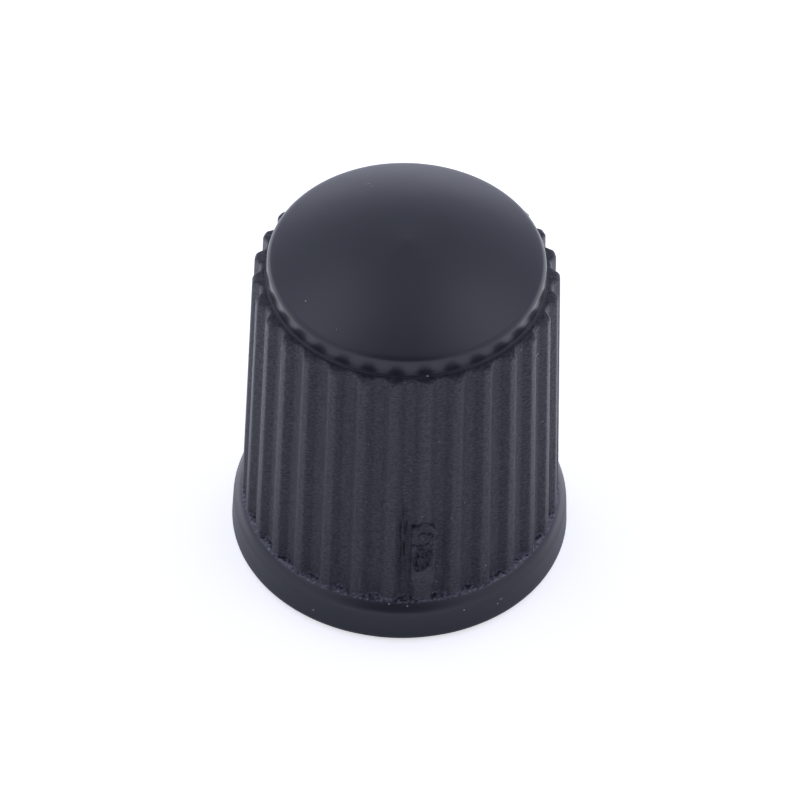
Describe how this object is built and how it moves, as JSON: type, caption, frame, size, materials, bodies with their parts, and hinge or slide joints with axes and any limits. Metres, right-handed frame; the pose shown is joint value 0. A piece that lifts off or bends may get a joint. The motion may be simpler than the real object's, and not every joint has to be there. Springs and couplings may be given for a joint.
{
  "type": "tyre valve cap",
  "caption": "Ribbed screw-on dust cap for a tyre valve: low domed crown, drafted grip ribs, rounded collar and a blind threaded bore with a conical seat.",
  "frame": {"origin": "on the cap's axis, in the plane of the rim it stands on", "axes": "+Z along the axis, from the open mouth to the crown; the pictured front faces -Y"},
  "size_m": [0.0104, 0.0104, 0.0123],
  "materials": {
    "moulded_plastic": "black injection-moulded plastic: spark-eroded texture on the grip, satin polish on crown and collar"
  },
  "bodies": {
    "root": {"cap": "moulded_plastic"}
  },
  "joints": []
}
